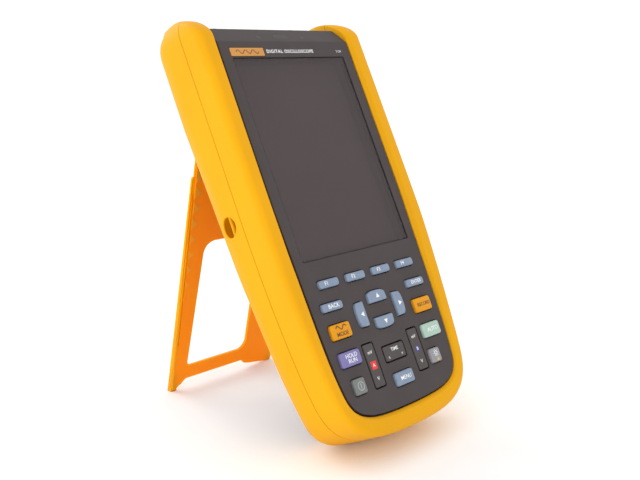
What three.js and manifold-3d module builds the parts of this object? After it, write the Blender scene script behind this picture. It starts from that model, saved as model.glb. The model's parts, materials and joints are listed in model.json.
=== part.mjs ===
// Handheld oscilloscope standing on its tilt stand, in millimetres, +Z up.
// Device coordinates: u across (right is +), v along the length from the bottom end, n out of the fascia.
import * as THREE from 'three';
import { mergeVertices } from 'three/addons/utils/BufferGeometryUtils.js';
import Module from 'manifold-3d';

const wasm = await Module();
wasm.setup();

// ---- Driving dimensions ----
const LENGTH = 259;
const HALF_WIDTH = 66;
const TILT = 27;
const GAP = 0.4;
const FASCIA_GAP = 0.9;
const BUMPER_WALL = 2.6;
const CASE_WALL = 2.4;
const FASCIA_THICKNESS = 3;
const FASCIA_HALF_WIDTH = 53.6;
const FASCIA_TOP = 235.8;
const RIDGE_TOP = 2.6;
const RIDGE_BOTTOM = 1.4;
const FRONT_ROUND = 10.2;
const FRONT_ROUND_SHARE = 0.82;
const REAR_ROUND_SIDE = 23;
const REAR_ROUND_BOTTOM = 8.5;
const BACK_TOP = -50;
const BACK_MIDDLE = -46.4;
const BACK_BOTTOM = -45;
const HORN_ROUND_LENGTH = 20;
const HORN_ROUND_DEPTH = 30;
const HORN_ROUND_POWER = 1.6;
const HORN_REAR_ROUND = 7;
const HORN_START = 242;
const HORN_STATIONS = [HORN_START, 246.5, 250.5, 253.5, 256, 257.8, 258.8];
const RIM_SLOPE = 1.15;
const REAR_PANEL = -41.8;
const TOP_END = 247.8;
const CONNECTOR_PLATE = 246.5;
const CASE_TOP = 238.6;
const PARTING = [[-20, -15.8], [45, -15.3], [110, -13.5], [290, -13.5]];
const FLOOR_HEIGHT = -17.07;

const WINDOW = { half: 45.4, bottom: 103.8, top: 225.8 };
const LENS_THICKNESS = 1.6;
const WELL_DEPTH = 9;
const BADGE = { left: -45.5, right: -20.4, low: 226.7, high: 231.8 };

const HINGE = { v: 208.5, n: -43.6 };
const STAND_OPEN = 39;
const STAND_LENGTH = 186.9;
const STAND_INNER = 1.3;
const STAND_PLATE = 2.3;
const BARREL_RADIUS = 2.6;
const BARREL_HALF = 44;
const PIN_RADIUS = 1.2;

const KEY_TOP = 2;
const KEY_BOTTOM = -3.6;
const KEY_CHAMFER = 0.7;
const KEY_CLEARANCE = 0.4;
const KEY_ARCH = 1.25;
const ROCKER_CLEARANCE = 0.8;
const KEYPAD = { half: 42.6, bottom: 24.8, top: 96.8 };

const DOOR = { half: 33, bottom: 36.3, top: 107.7 };
const DOOR_SCREW = { v: 101, head: 4.2, shaft: 2 };
const CASE_SCREWS = [[-41, 40], [41, 40], [-41, 188], [41, 188]];
const JACK_N = -30;
const JACK_PITCH = 31;
const STRAP = { v: 136, n: -25, pocket: 7.5, boss: 9.8, bar: 1.1, inset: 3.4, reach: 8.6 };
const INLET = { v: 70, n: -26, radius: 4.7, bore: 3.3, hole: 5.1, depth: 4.9 };
const PORT = { v: 98, n: -26, halfV: 9, halfN: 4.6, depth: 3.6 };

const COLOUR = {
  yellow: 0xfdc030, orange: 0xff9f2a, fascia: 0x585152, dark: 0x3b3a3c, lens: 0x4a4345, glassGrey: 0x5c5455,
  blueKey: 0x7f8ea8, yellowKey: 0xf5a316, purpleKey: 0x7d74b0, greenKey: 0x86bfa6, powerKey: 0x5f7b74,
  lightKey: 0x86858f, rocker: 0x4a4544, board: 0x1f5f3c, steel: 0xb8babd, red: 0xb3312c, grey: 0x8d9095,
  black: 0x1c1c1e, mat: 0x6f7378, battery: 0x2c3f66, badge: 0xf0a24e,
};

// ---- Helpers ----
const lerp = THREE.MathUtils.lerp;
const clamp = THREE.MathUtils.clamp;

function ramp(value, from, to, low, high) {
  return lerp(low, high, clamp((value - from) / (to - from), 0, 1));
}

function toSolid(geometry) {
  const bare = geometry.clone();
  bare.deleteAttribute('normal');
  bare.deleteAttribute('uv');
  const merged = mergeVertices(bare, 1e-4);
  return new wasm.Manifold(new wasm.Mesh({
    numProp: 3,
    vertProperties: new Float32Array(merged.attributes.position.array),
    triVerts: new Uint32Array(merged.index.array),
  }));
}

function toGeometry(solid) {
  const mesh = solid.getMesh();
  const geometry = new THREE.BufferGeometry();
  geometry.setAttribute('position', new THREE.BufferAttribute(mesh.vertProperties, 3));
  geometry.setIndex(new THREE.BufferAttribute(mesh.triVerts, 1));
  geometry.computeVertexNormals();
  return geometry;
}

function box(u0, u1, v0, v1, n0, n1) {
  const geometry = new THREE.BoxGeometry(u1 - u0, v1 - v0, n1 - n0);
  geometry.translate((u0 + u1) / 2, (v0 + v1) / 2, (n0 + n1) / 2);
  return toSolid(geometry);
}

// Cylinder along 'u', 'v' or 'n', from one end coordinate to the other.
function rod(axis, radius, from, to, centre, sides = 24) {
  const geometry = new THREE.CylinderGeometry(radius, radius, to - from, sides);
  geometry.translate(0, (from + to) / 2, 0);
  if (axis === 'u') geometry.rotateZ(-Math.PI / 2);
  if (axis === 'n') geometry.rotateX(Math.PI / 2);
  geometry.translate(...centre);
  return toSolid(geometry);
}

// Outline in (u, v) pushed out along n.
function prism(points, n0, n1) {
  const shape = new THREE.Shape(points.map(([u, v]) => new THREE.Vector2(u, v)));
  const geometry = new THREE.ExtrudeGeometry(shape, { depth: n1 - n0, bevelEnabled: false });
  geometry.translate(0, 0, n0);
  return toSolid(geometry);
}

// Outline in (v, n) pushed out along u.
function prismAcross(points, u0, u1) {
  const shape = new THREE.Shape(points.map(([v, n]) => new THREE.Vector2(v, n)));
  const geometry = new THREE.ExtrudeGeometry(shape, { depth: u1 - u0, bevelEnabled: false });
  geometry.applyMatrix4(new THREE.Matrix4().set(0, 0, 1, u0, 1, 0, 0, 0, 0, 1, 0, 0, 0, 0, 0, 1));
  return toSolid(geometry);
}

// Skin through a row of closed rings, with both ends capped; flatten gives the 2D view used for the caps.
function loft(rings, flatten) {
  const size = rings[0].length;
  const positions = rings.flat().flatMap((p) => [p.x, p.y, p.z]);
  const faces = [];
  for (let i = 0; i + 1 < rings.length; i += 1) {
    for (let j = 0; j < size; j += 1) {
      const a = i * size + j;
      const b = i * size + ((j + 1) % size);
      faces.push([a, b, b + size], [a, b + size, a + size]);
    }
  }
  const last = (rings.length - 1) * size;
  const cap = (ring) => {
    const flat = ring.map(flatten);
    const turn = THREE.ShapeUtils.isClockWise(flat) ? -1 : 1;
    return { turn, tris: THREE.ShapeUtils.triangulateShape(flat, []) };
  };
  const first = cap(rings[0]);
  const end = cap(rings[rings.length - 1]);
  const wound = (tri, keep) => (keep ? tri : [tri[0], tri[2], tri[1]]);
  const facing = (tri, ring) => {
    const [a, b, c] = tri.map((k) => flatten(ring[k]));
    return (b.x - a.x) * (c.y - a.y) - (b.y - a.y) * (c.x - a.x) > 0 ? 1 : -1;
  };
  for (const tri of first.tris) faces.push(wound(tri, facing(tri, rings[0]) !== first.turn));
  for (const tri of end.tris) {
    const kept = wound(tri, facing(tri, rings[rings.length - 1]) === end.turn);
    faces.push(kept.map((k) => k + last));
  }
  let volume = 0;
  const at = (k) => new THREE.Vector3(positions[3 * k], positions[3 * k + 1], positions[3 * k + 2]);
  for (const [a, b, c] of faces) volume += at(a).dot(at(b).cross(at(c)));
  const geometry = new THREE.BufferGeometry();
  geometry.setAttribute('position', new THREE.Float32BufferAttribute(positions, 3));
  geometry.setIndex(faces.flatMap((f) => (volume > 0 ? f : [f[0], f[2], f[1]])));
  return toSolid(geometry);
}

function roundedRectangle(halfU, halfV, radius, steps = 4) {
  const points = [];
  for (let corner = 0; corner < 4; corner += 1) {
    const su = corner === 0 || corner === 3 ? 1 : -1;
    const sv = corner < 2 ? 1 : -1;
    for (let k = 0; k <= steps; k += 1) {
      const angle = (corner + k / steps) * Math.PI / 2;
      const u = su * (halfU - radius) + radius * Math.cos(angle);
      const v = sv * (halfV - radius) + radius * Math.sin(angle);
      points.push([u, v]);
    }
  }
  return points;
}

// Rectangle whose outer (+v) edge is an arch.
function archedOutline(halfU, halfV, arch, radius, inset) {
  const hu = halfU - inset;
  const hv = halfV - inset;
  const points = [[-hu, -hv + radius], [-hu + radius, -hv], [hu - radius, -hv], [hu, -hv + radius]];
  const steps = 8;
  for (let k = 0; k <= steps; k += 1) {
    const t = 1 - 2 * k / steps;
    points.push([t * hu * (1 - 0.04 * t * t), hv - arch * (t ** 4 + t * t / 3)]);
  }
  return points;
}

const moved = (points, [u, v], quarter = 0) => points.map(([x, y]) => {
  const c = Math.round(Math.cos(quarter * Math.PI / 2));
  const s = Math.round(Math.sin(quarter * Math.PI / 2));
  return [u + c * x - s * y, v + s * x + c * y];
});

// ---- Outline of the body: outer edge P and fascia edge Q, right half, from the bottom centre up ----
const SIDE_STATIONS = [
  [0, 0, 0, 11.5], [15, 0.4, 13, 11.7], [28, 1.8, 24.5, 12.4], [38, 4.6, 33, 13.8],
  [46.5, 9.6, 39.9, 16.5], [52.4, 16.5, 44.8, 20.6], [56, 25, 47.7, 26.8], [58.3, 36, 49.3, 36.5],
  [60.1, 48, 50.4, 48.2], [62.2, 66, 51.4, 66], [64.2, 88, 52.2, 88], [65.6, 110, 52.9, 110],
  [HALF_WIDTH, 135, FASCIA_HALF_WIDTH, 135], [HALF_WIDTH, 165, FASCIA_HALF_WIDTH, 165],
  [HALF_WIDTH, 200, FASCIA_HALF_WIDTH, 200], [HALF_WIDTH, 228, FASCIA_HALF_WIDTH, 228],
  [HALF_WIDTH, FASCIA_TOP, FASCIA_HALF_WIDTH, FASCIA_TOP],
];

// Height of the horn's front face where it rolls over the top end.
function hornFront(v) {
  const inset = clamp(LENGTH - v, 0, HORN_ROUND_LENGTH);
  const x = (1 - (1 - inset / HORN_ROUND_LENGTH) ** HORN_ROUND_POWER) ** (1 / HORN_ROUND_POWER);
  return RIDGE_TOP - HORN_ROUND_DEPTH * (1 - x);
}

function hornStation(v) {
  const top = clamp((v - HORN_START) / (LENGTH - HORN_START), 0, 1);
  const outer = HALF_WIDTH - 8.2 * top ** 2.4;
  const inner = FASCIA_HALF_WIDTH + 2 * top ** 5;
  return [outer, v, inner, v];
}

function station([pu, pv, qu, qv]) {
  const width = Math.hypot(qu - pu, qv - pv);
  const dir = [(qu - pu) / width, (qv - pv) / width];
  const sideways = Math.abs(dir[0]);
  const back = pv < 133
    ? ramp(pv, 94, 133, BACK_BOTTOM, BACK_MIDDLE)
    : ramp(pv, 133, 200, BACK_MIDDLE, BACK_TOP);
  const rearInset = clamp(LENGTH - pv, 0, HORN_REAR_ROUND);
  const rolled = HORN_REAR_ROUND - Math.sqrt(HORN_REAR_ROUND ** 2 - (HORN_REAR_ROUND - rearInset) ** 2);
  const ridge = pv > FASCIA_TOP ? hornFront(pv) : ramp(pv, 50, 120, RIDGE_BOTTOM, RIDGE_TOP);
  const front = Math.min(FRONT_ROUND, width * FRONT_ROUND_SHARE);
  const rear = lerp(REAR_ROUND_BOTTOM, REAR_ROUND_SIDE, sideways ** 2);
  return {
    p: [pu, pv],
    dir,
    width,
    ridge,
    frontRound: front,
    rearRound: Math.min(rear, (ridge - back - rolled - front) * 0.8),
    back: back + rolled,
  };
}

const half = [...SIDE_STATIONS, ...HORN_STATIONS.map(hornStation)];
const mirror = ([pu, pv, qu, qv]) => [-pu, pv, -qu, qv];
const ringPath = [...half.slice(1).reverse().map(mirror), ...half];

function place(s, inset, n) {
  return new THREE.Vector3(s.p[0] + s.dir[0] * inset, s.p[1] + s.dir[1] * inset, n);
}

// Closed section of the yellow bumper: rear rounding, side, front rounding, ridge, slope, inner wall.
function bumperSection(raw) {
  const s = station(raw);
  const points = [];
  const rearSteps = 7;
  for (let k = 0; k <= rearSteps; k += 1) {
    const inset = s.width * (1 - k / rearSteps) ** 2;
    const across = clamp(s.rearRound - inset, 0, s.rearRound);
    points.push([inset, s.back + s.rearRound - Math.sqrt(s.rearRound ** 2 - across ** 2)]);
  }
  const frontSteps = 5;
  for (let k = 0; k <= frontSteps; k += 1) {
    const angle = k / frontSteps * Math.PI / 2;
    const inset = s.frontRound * (1 - Math.cos(angle));
    points.push([inset, s.ridge - s.frontRound * (1 - Math.sin(angle))]);
  }
  points.push([s.width, s.ridge - (s.width - s.frontRound) * RIM_SLOPE]);
  return points.map(([inset, n]) => place(s, inset, n));
}

// Inside volume of the shell, a constant offset in from the outer surface.
function insideSolid(offset, top, front) {
  const right = SIDE_STATIONS.filter((s) => s[1] < top - 4).map(station);
  right.push(station([HALF_WIDTH, top, FASCIA_HALF_WIDTH, top]));
  const flip = (s) => ({ ...s, p: [-s.p[0], s.p[1]], dir: [-s.dir[0], s.dir[1]] });
  const loop = [...right.slice(1).reverse().map(flip), ...right];
  const rings = [loop.map((s) => place(s, offset, front))];
  const steps = 5;
  for (let k = 0; k <= steps; k += 1) {
    const angle = k / steps * Math.PI / 2;
    rings.push(loop.map((s) => {
      const radius = s.rearRound - offset;
      const inset = offset + radius * (1 - Math.cos(angle));
      return place(s, inset, s.back + offset + radius * (1 - Math.sin(angle)));
    }));
  }
  return loft(rings, (p) => new THREE.Vector2(p.x, p.y));
}

function fasciaOutline(inset, top) {
  const right = SIDE_STATIONS.filter((s) => s[3] < top - 3).map((raw) => {
    const s = station(raw);
    const point = place(s, s.width + inset, 0);
    return [point.x, point.y];
  });
  right.push([FASCIA_HALF_WIDTH - inset, top]);
  return [...right, ...right.slice(1).reverse().map(([u, v]) => [-u, v])];
}

const WIDE = 90;
const partingCut = (shift, far) => prismAcross([
  ...PARTING.map(([v, n]) => [v, n + shift]),
  [PARTING[PARTING.length - 1][0], far],
  [PARTING[0][0], far],
], -WIDE, WIDE);

const sinTilt = Math.sin(TILT * Math.PI / 180);
const cosTilt = Math.cos(TILT * Math.PI / 180);

// Everything below the surface that the part stands on, in device coordinates.
function floorCutter() {
  const geometry = new THREE.BoxGeometry(400, 600, 100);
  geometry.translate(0, 0, -50);
  geometry.rotateX(-(90 - TILT) * Math.PI / 180);
  geometry.translate(0, FLOOR_HEIGHT * cosTilt, FLOOR_HEIGHT * sinTilt);
  return geometry;
}

// ---- Housing ----
const bumperRing = loft(
  ringPath.map(bumperSection),
  (p) => new THREE.Vector2(Math.abs(p.x), p.z),
).subtract(toSolid(floorCutter()));
const bumperCavity = insideSolid(BUMPER_WALL, CASE_TOP + GAP, -FASCIA_THICKNESS - GAP);

function makeFrontBumper() {
  return bumperRing.subtract(bumperCavity).intersect(partingCut(0.15, 40));
}

// Cylinder across one side wall, between two depths from the widest point.
function sideRod(side, radius, deep, shallow, { v, n }) {
  const ends = [side * (HALF_WIDTH - deep), side * (HALF_WIDTH - shallow)].sort((a, b) => a - b);
  return rod('u', radius, ends[0], ends[1], [0, v, n], 28);
}

function portBox(margin, deep, shallow) {
  const { v, n, halfV, halfN } = PORT;
  const ends = [HALF_WIDTH - deep, HALF_WIDTH - shallow];
  return box(...ends, v - halfV + margin, v + halfV - margin, n - halfN + margin, n + halfN - margin);
}

function makeRearBumper() {
  const body = insideSolid(0.5, CASE_TOP, -6);
  let shell = bumperRing.subtract(bumperCavity);
  for (const side of [-1, 1]) {
    shell = shell.add(sideRod(side, STRAP.boss, 9.5, 0, STRAP).intersect(body));
    shell = shell.subtract(sideRod(side, STRAP.pocket, 7.5, -2, STRAP));
    const bar = [side * (HALF_WIDTH - STRAP.inset), 0, STRAP.n];
    shell = shell.subtract(rod('v', STRAP.bar + 0.3, STRAP.v - 9, STRAP.v + 9, bar, 14));
  }
  shell = shell.subtract(box(-49.3, 49.3, 14, 216, -60, REAR_PANEL + 1.2));
  shell = shell.subtract(sideRod(1, INLET.hole, 20, -10, INLET));
  shell = shell.subtract(portBox(-GAP, 20, -10));
  return shell.intersect(partingCut(-0.15, -80));
}

const KEYS = [
  { name: 'key_f1', at: [-32.65, 89.8], size: [15.5, 4.8], colour: COLOUR.blueKey },
  { name: 'key_f2', at: [-10.9, 89.8], size: [15.5, 4.8], colour: COLOUR.blueKey },
  { name: 'key_f3', at: [10.9, 89.8], size: [15.5, 4.8], colour: COLOUR.blueKey },
  { name: 'key_f4', at: [32.65, 89.8], size: [15.5, 4.8], colour: COLOUR.blueKey },
  { name: 'key_back', at: [-35.9, 77], size: [16, 4.8], colour: COLOUR.blueKey },
  { name: 'key_enter', at: [35.9, 77], size: [16, 4.8], colour: COLOUR.blueKey },
  { name: 'key_up', at: [0, 75.7], size: [15.5, 7], arch: 0, colour: COLOUR.blueKey },
  { name: 'key_left', at: [-16.45, 67.9], size: [14.6, 7.6], arch: 1, colour: COLOUR.blueKey },
  { name: 'key_down', at: [0, 60.3], size: [15.5, 7], arch: 2, colour: COLOUR.blueKey },
  { name: 'key_right', at: [16.45, 67.9], size: [14.6, 7.6], arch: 3, colour: COLOUR.blueKey },
  { name: 'key_mode', at: [-35.7, 62.9], size: [15.5, 8.6], colour: COLOUR.yellowKey },
  { name: 'key_record', at: [35.7, 62.9], size: [15.5, 8.6], colour: COLOUR.yellowKey },
  { name: 'key_hold_run', at: [-35.6, 47.2], size: [16, 8.4], colour: COLOUR.purpleKey },
  { name: 'key_auto', at: [35.6, 47.2], size: [16, 8.4], colour: COLOUR.greenKey },
  { name: 'key_menu', at: [0, 26.9], size: [15.5, 7.8], colour: COLOUR.blueKey },
  { name: 'key_power', at: [-35.7, 31.5], size: [9.2, 9], colour: COLOUR.powerKey },
  { name: 'key_light', at: [31.3, 32], size: [9.2, 8.7], colour: COLOUR.lightKey },
];
const ROCKERS = [
  { name: 'rocker_a', at: [-19.35, 39.2], size: [8.2, 24.5] },
  { name: 'rocker_b', at: [19.35, 39.2], size: [8.2, 24.5] },
  { name: 'rocker_time', at: [0, 42.4], size: [17.5, 8.6] },
];

function keyOutline(key, inset) {
  const [w, h] = key.size;
  if (key.arch === undefined) return moved(roundedRectangle(w / 2 - inset, h / 2 - inset, 1.3), key.at);
  return moved(archedOutline(w / 2, h / 2, KEY_ARCH, 0.7, inset), key.at, key.arch);
}

function makeKey(key) {
  const ring = (inset, n) => keyOutline(key, inset).map(([u, v]) => new THREE.Vector3(u, v, n));
  const rings = [ring(0, KEY_BOTTOM), ring(0, KEY_TOP - KEY_CHAMFER), ring(KEY_CHAMFER, KEY_TOP)];
  return loft(rings, (p) => new THREE.Vector2(p.x, p.y));
}

function makeRocker({ at, size }) {
  const ring = (inset, n) => {
    const outline = roundedRectangle(size[0] / 2 - inset, size[1] / 2 - inset, 1.1, 3);
    return moved(outline, at).map(([u, v]) => new THREE.Vector3(u, v, n));
  };
  return loft([ring(0, -3.4), ring(0, -0.3), ring(0.5, 0.2)], (p) => new THREE.Vector2(p.x, p.y));
}

function makeFrontCase() {
  const skirt = insideSolid(BUMPER_WALL + GAP, CASE_TOP, -FASCIA_THICKNESS - 2 * GAP)
    .intersect(box(-WIDE, WIDE, -10, 300, -13.2, 5));
  const hollow = insideSolid(BUMPER_WALL + GAP + CASE_WALL, CASE_TOP - CASE_WALL, -6)
    .add(prism(fasciaOutline(2.6, FASCIA_TOP - 2), -14, -FASCIA_THICKNESS));
  let shell = skirt.add(prism(fasciaOutline(FASCIA_GAP, FASCIA_TOP), -6, 0));
  const across = FASCIA_HALF_WIDTH - FASCIA_GAP;
  shell = shell.add(prismAcross([
    [200, -6], [200, 0], [FASCIA_TOP, 0], [TOP_END, -8], [TOP_END, -13.2], [234, -13.2], [234, -6],
  ], -across, across)).subtract(hollow);
  shell = shell.subtract(prismAcross([
    [215, -20], [215, -3], [FASCIA_TOP - 1, -3], [TOP_END - 2.4, -10], [TOP_END - 2.4, -20],
  ], -50, 50));
  const { half: w, bottom, top } = WINDOW;
  shell = shell.subtract(box(-w, w, bottom, top, -20, 1));
  for (const key of KEYS) shell = shell.subtract(prism(keyOutline(key, -KEY_CLEARANCE), -20, 1));
  for (const { at, size } of ROCKERS) {
    const opening = roundedRectangle(size[0] / 2 + ROCKER_CLEARANCE, size[1] / 2 + ROCKER_CLEARANCE, 1.3, 3);
    shell = shell.subtract(prism(moved(opening, at), -20, 1));
  }
  const { left, right, low, high } = BADGE;
  return shell.subtract(box(left - 0.3, right + 0.3, low - 0.3, high + 0.3, -0.7, 1));
}

function makeRearCase() {
  const offset = BUMPER_WALL + GAP;
  const across = FASCIA_HALF_WIDTH - GAP;
  let shell = insideSolid(offset, CASE_TOP, -6);
  shell = shell.add(prismAcross([
    [217, -20], [217, -49.2], [243, -49.2], [CONNECTOR_PLATE, -46], [CONNECTOR_PLATE, -6], [217, -6],
  ], -across, across));
  shell = shell.intersect(box(-WIDE, WIDE, -10, 300, -60, -13.8));
  const inner = insideSolid(offset + CASE_WALL, CASE_TOP - CASE_WALL, -5);
  shell = shell.subtract(inner.intersect(box(-WIDE, WIDE, -10, 202, REAR_PANEL + 2.2, 10)));
  shell = shell.subtract(inner.intersect(box(-WIDE, WIDE, 201, 300, REAR_PANEL + 5.4, 10)));
  shell = shell.subtract(box(-50, 50, 221, CONNECTOR_PLATE - CASE_WALL, -46.6, 0));
  shell = shell.subtract(box(-48.7, 48.7, -10, 217, -60, REAR_PANEL));
  shell = shell.subtract(rod('u', BARREL_RADIUS + 0.9, -48.7, 48.7, [0, HINGE.v, HINGE.n], 20));
  for (const side of [-1, 1]) {
    const u = side * 16;
    const lug = box(u - 3.4, u + 3.4, HINGE.v - 2.4, HINGE.v + 2.4, HINGE.n - 1, REAR_PANEL + 3)
      .add(rod('u', 2.4, u - 3.4, u + 3.4, [0, HINGE.v, HINGE.n - 1], 20));
    shell = shell.add(lug);
    shell = shell.subtract(sideRod(side, STRAP.boss + GAP, 16, -4, STRAP));
  }
  shell = shell.subtract(rod('u', PIN_RADIUS + 0.35, -48, 48, [0, HINGE.v, HINGE.n], 16));
  const { half: w, bottom, top } = DOOR;
  shell = shell.subtract(box(-w - GAP, w + GAP, bottom - GAP, top + GAP, -60, -35));
  for (const [u, v] of CASE_SCREWS) {
    shell = shell.subtract(rod('n', 3.8, -60, REAR_PANEL + 1.2, [u, v, 0], 16));
    shell = shell.subtract(rod('n', 2, -60, -35, [u, v, 0], 16));
  }
  for (const slot of [-1, 0, 1]) {
    const radius = slot === 0 ? 6.2 : 9;
    shell = shell.subtract(rod('v', radius + GAP, 238, 260, [slot * JACK_PITCH, 0, JACK_N], 28));
  }
  shell = shell.subtract(sideRod(1, INLET.hole, 16, -4, INLET));
  return shell.subtract(portBox(-GAP, 16, -4));
}

// ---- Display, keypad and what is inside ----
function makeDisplayFrame() {
  const { half: w, bottom, top } = WINDOW;
  const outer = box(-w - 3.8, w + 3.8, bottom - 3.6, top + 3.6, -WELL_DEPTH + 0.3, -FASCIA_THICKNESS - GAP);
  return outer.subtract(box(-w + 0.6, w - 0.6, bottom + 0.6, top - 0.6, -20, 0));
}

// Flat rectangular piece lying in the keypad's outline.
function keypadLayer(n0, n1) {
  return box(-KEYPAD.half, KEYPAD.half, KEYPAD.bottom, KEYPAD.top, n0, n1);
}

function makeShieldCan() {
  const outer = box(-40, 40, 160, 226, -33, -17.9);
  return outer.subtract(box(-39.2, 39.2, 160.8, 225.2, -32.2, -10));
}

function makeShroud(u) {
  const tube = rod('v', 8.6, CONNECTOR_PLATE - 6, 255.5, [u, 0, JACK_N], 28);
  return tube.subtract(rod('v', 6.5, 230, 270, [u, 0, JACK_N], 28));
}

// Metal input socket: sleeve with a short centre contact on its floor.
function makeSocket(u) {
  let body = rod('v', 6.1, CONNECTOR_PLATE - 10, 253.5, [u, 0, JACK_N], 28);
  body = body.subtract(rod('v', 4.9, CONNECTOR_PLATE - 3, 270, [u, 0, JACK_N], 28));
  return body.add(rod('v', 1.1, CONNECTOR_PLATE - 4, CONNECTOR_PLATE, [u, 0, JACK_N], 12));
}

function makeComJack() {
  const tube = rod('v', 6.2, CONNECTOR_PLATE - 10, 255.5, [0, 0, JACK_N], 28);
  return tube.subtract(rod('v', 2.1, CONNECTOR_PLATE - 6, 270, [0, 0, JACK_N], 16));
}

function makeDcInlet() {
  const body = sideRod(1, INLET.radius, 14, INLET.depth, INLET);
  return body.subtract(sideRod(1, INLET.bore, 11.5, -4, INLET));
}

function makeScrew([u, v], head, shaft, length) {
  const outer = REAR_PANEL + 0.15;
  const slot = box(u - head * 0.8, u + head * 0.8, v - 0.45, v + 0.45, outer - 1, outer + 0.45);
  return rod('n', head, outer, outer + 0.75, [u, v, 0], 20)
    .add(rod('n', shaft, outer + 0.5, outer + length, [u, v, 0], 12))
    .subtract(slot);
}

function makeBatteryDoor() {
  const { half: w, bottom, top } = DOOR;
  let door = box(-w, w, bottom, top, REAR_PANEL, REAR_PANEL + 2.2);
  for (const u of [-20, 20]) {
    door = door.add(box(u - 5, u + 5, bottom + 0.4, bottom + 4, REAR_PANEL + 1, REAR_PANEL + 3.8));
    door = door.add(box(u - 5, u + 5, bottom - 2, bottom + 4, REAR_PANEL + 2.7, REAR_PANEL + 3.8));
  }
  door = door.subtract(rod('n', DOOR_SCREW.head + 0.4, -60, REAR_PANEL + 1.3, [0, DOOR_SCREW.v, 0], 20));
  return door.subtract(rod('n', DOOR_SCREW.shaft + 0.4, -60, -30, [0, DOOR_SCREW.v, 0], 16));
}

// ---- Tilt stand, drawn folded: u across, y up from the hinge, z towards the case ----
const STAND_OUTLINE = [
  [-46.6, 2.6], [-46.1, 0], [-44.9, -0.8], [-43.7, -0.4], [-41.5, 2.6], [-38.6, 4.2], [-37.2, 5.8],
  [-35.4, 7.2], [14, 7.2], [15.8, 4.4], [19, 3.3], [40.6, -0.8], [42.3, 1.6], [42.6, 60], [43.6, 183],
  [42, STAND_LENGTH], [-43, STAND_LENGTH], [-45, 184],
];
const STAND_WINDOW = { left: -35, right: 16.2, bottom: 16.6, top: 105.5 };
const TEETH = { count: 8, first: 78, pitch: 10.4, root: -44.2, reach: 6, height: 0.4 };
const SLOT = { left: -45.4, right: -44.5, bottom: 34, top: 164, depth: 0.9 };
const FOOT = { width: 4.6, profile: [[-2, 1], [16, 0], [9, -2.6], [-2, -3.2]] };
const RIB = { width: 1.9, profile: [[-2, 1], [150, 0], [150, -1.2], [-2, -3.2]] };
const STAND_SIDES = { left: -46.6, right: 42.3 };

const fromFoot = (points) => points.map(([u, s]) => [u, s - STAND_LENGTH]);

function standWindowOutline() {
  const { left, right, bottom, top } = STAND_WINDOW;
  const centre = [(left + right) / 2, (bottom + top) / 2];
  return fromFoot(moved(roundedRectangle((right - left) / 2, (top - bottom) / 2, 5), centre));
}

function makeTiltStand(inverse) {
  let stand = prism(fromFoot(STAND_OUTLINE), STAND_INNER - STAND_PLATE, STAND_INNER);
  stand = stand.add(rod('u', BARREL_RADIUS, -BARREL_HALF, BARREL_HALF, [0, 0, 0], 20));
  const { left, right } = STAND_SIDES;
  for (const { width, profile } of [FOOT, RIB]) {
    const side = profile.map(([s, z]) => [s - STAND_LENGTH, z]);
    stand = stand.add(prismAcross(side, left, left + width));
    stand = stand.add(prismAcross(side, right - width, right));
  }
  stand = stand.subtract(prism(standWindowOutline(), -5, 5));
  for (const u of [-16, 16]) stand = stand.subtract(box(u - 3.9, u + 3.9, -5.2, 5, -6, 6));
  stand = stand.subtract(rod('u', PIN_RADIUS + 0.35, -60, 60, [0, 0, 0], 16));
  const [low, high] = [SLOT.bottom - STAND_LENGTH, SLOT.top - STAND_LENGTH];
  stand = stand.subtract(box(SLOT.left, SLOT.right, low, high, STAND_INNER - SLOT.depth, 5));
  for (let k = 0; k < TEETH.count; k += 1) {
    const s = TEETH.first + k * TEETH.pitch;
    const size = 0.55 + 0.45 * k / (TEETH.count - 1);
    const tooth = [
      [TEETH.root, s - 5 * size], [TEETH.root + TEETH.reach * size, s], [TEETH.root, s + 5 * size],
    ];
    stand = stand.add(prism(fromFoot(tooth), 0, STAND_INNER + TEETH.height));
  }
  return stand.subtract(toSolid(floorCutter().applyMatrix4(inverse)));
}

// ---- Scene graph ----
const device = new THREE.Group();
device.rotation.x = (90 - TILT) * Math.PI / 180;
const standPivot = new THREE.Group();
standPivot.position.set(0, HINGE.v, HINGE.n);
standPivot.rotation.x = STAND_OPEN * Math.PI / 180;
standPivot.updateMatrix();
device.add(standPivot);

function add(name, solid, color, roughness = 0.6, metalness = 0, parent = device) {
  const material = new THREE.MeshStandardMaterial({ color, roughness, metalness });
  const mesh = new THREE.Mesh(toGeometry(solid), material);
  mesh.name = name;
  parent.add(mesh);
}

add('front_bumper', makeFrontBumper(), COLOUR.yellow);
add('rear_bumper', makeRearBumper(), COLOUR.yellow);
add('front_case', makeFrontCase(), COLOUR.fascia);
add('rear_case', makeRearCase(), COLOUR.dark);

const lensTop = -0.5;
const lensHalf = WINDOW.half - GAP;
const lens = box(
  -lensHalf, lensHalf, WINDOW.bottom + GAP, WINDOW.top - GAP, lensTop - LENS_THICKNESS, lensTop,
);
add('display_lens', lens, COLOUR.lens, 0.15);
add('display_frame', makeDisplayFrame(), COLOUR.black);
add('lcd_panel', box(-48, 48, 102, 228, -11.4, -WELL_DEPTH), COLOUR.glassGrey, 0.3);
add('badge_plate', box(BADGE.left, BADGE.right, BADGE.low, BADGE.high, -0.4, 0.3), COLOUR.badge, 0.4);
add('keypad_mat', keypadLayer(-6.1, -4.9), COLOUR.mat, 0.8);
add('keypad_board', keypadLayer(-8, -6.4), COLOUR.board);
add('main_board', box(-46, 46, 24, 234, -17.5, -15.9), COLOUR.board);
add('shield_can', makeShieldCan(), COLOUR.steel, 0.35, 0.9);
add('beeper', rod('n', 6.5, -24, -17.9, [42, 60, 0]), COLOUR.black);
add('battery_pack', box(-31, 31, 40, 152, -36.6, -19), COLOUR.battery, 0.5);
add('battery_door', makeBatteryDoor(), COLOUR.dark);
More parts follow.
